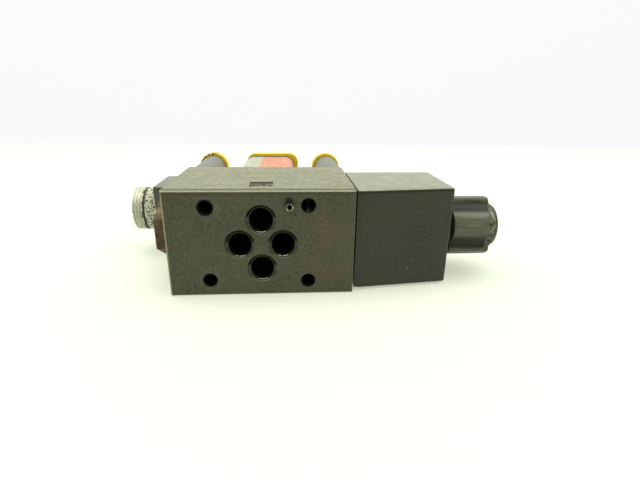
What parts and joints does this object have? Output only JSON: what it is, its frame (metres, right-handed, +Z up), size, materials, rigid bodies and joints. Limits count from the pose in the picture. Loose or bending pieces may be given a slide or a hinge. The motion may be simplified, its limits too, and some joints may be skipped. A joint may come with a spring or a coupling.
{
  "type": "solenoid directional valve",
  "caption": "Size 6 hydraulic directional valve: ported iron body, spring-return spool, square coil with finger nut, terminal box with yellow lid and a round cable connector.",
  "frame": {"origin": "centre of the port pattern on the mounting face", "axes": "-Y out of the mounting face, +X along the spool towards the coil, +Z up with the valve lying on its side as in the picture"},
  "size_m": [0.1736, 0.109, 0.045],
  "materials": {
    "body_iron": "phosphated, lightly rusted",
    "steel_rusty": "rusted",
    "steel_bright": "ground",
    "spring_steel": "drawn",
    "rubber_black": "matt",
    "coil_plastic": "moulded, dusty",
    "nut_plastic": "moulded",
    "bobbin_nylon": "natural",
    "copper_winding": "enamelled",
    "yoke_steel": "plain",
    "box_grey": "painted, worn",
    "lid_yellow": "painted, chipped",
    "label_print": "printed",
    "zinc_screw": "zinc plated",
    "block_plastic": "moulded",
    "wire_insulation": "vinyl",
    "contact_brass": "plain",
    "shell_nickel": "plated, worn",
    "insert_plastic": "moulded"
  },
  "bodies": {
    "valve": {"valve_body": "body_iron", "locating_pin": "steel_bright", "return_spring": "spring_steel", "end_plug": "steel_rusty", "end_plug_oring": "rubber_black", "core_tube": "steel_bright", "core_tube_oring": "rubber_black", "pole_piece": "steel_bright", "tube_end_stop": "steel_bright", "override_oring": "rubber_black", "coil_housing": "coil_plastic", "coil_bobbin": "bobbin_nylon", "coil_winding": "copper_winding", "yoke_sleeve": "yoke_steel", "flux_washers": "yoke_steel", "coil_body_seal": "rubber_black", "coil_nut_oring": "rubber_black", "coil_plug_blades": "contact_brass", "terminal_box": "box_grey", "box_base_gasket": "rubber_black", "box_screws": "zinc_screw", "ground_screw": "contact_brass", "terminal_block": "block_plastic", "terminal_screws": "zinc_screw", "coil_socket": "block_plastic", "lead_wires": "wire_insulation", "lid_gasket": "rubber_black", "box_lid": "lid_yellow", "lid_screws": "zinc_screw", "rating_label": "label_print", "connector_shell": "shell_nickel", "connector_oring": "rubber_black", "connector_gasket": "rubber_black", "connector_insert": "insert_plastic", "connector_pins": "contact_brass"},
    "spool_group": {"spool": "steel_bright", "spring_seat": "steel_bright"},
    "armature_group": {"armature": "steel_bright", "push_pin": "steel_bright"},
    "override_group": {"override_pin": "steel_bright"},
    "nut_group": {"coil_nut": "nut_plastic"}
  },
  "joints": [
    {"name": "spool_slide", "type": "slide", "parent": "valve", "child": "spool_group", "axis": [-1, 0, 0], "range_m": [0, 0.0035], "stiffness_N_per_m": 3000, "springref_m": -0.004, "deforming": ["return_spring"]},
    {"name": "armature_slide", "type": "slide", "parent": "valve", "child": "armature_group", "axis": [-1, 0, 0], "range_m": [0, 0.0035]},
    {"name": "override_pin_slide", "type": "slide", "parent": "valve", "child": "override_group", "axis": [-1, 0, 0], "range_m": [0, 0.0035]},
    {"name": "coil_nut_spin", "type": "hinge", "parent": "valve", "child": "nut_group", "pos_m": [0.094, 0.024, 0], "axis": [1, 0, 0], "continuous": true}
  ],
  "couplings": [
    {"joint": "armature_slide", "follows": "spool_slide", "ratio": 1},
    {"joint": "override_pin_slide", "follows": "spool_slide", "ratio": 1}
  ]
}
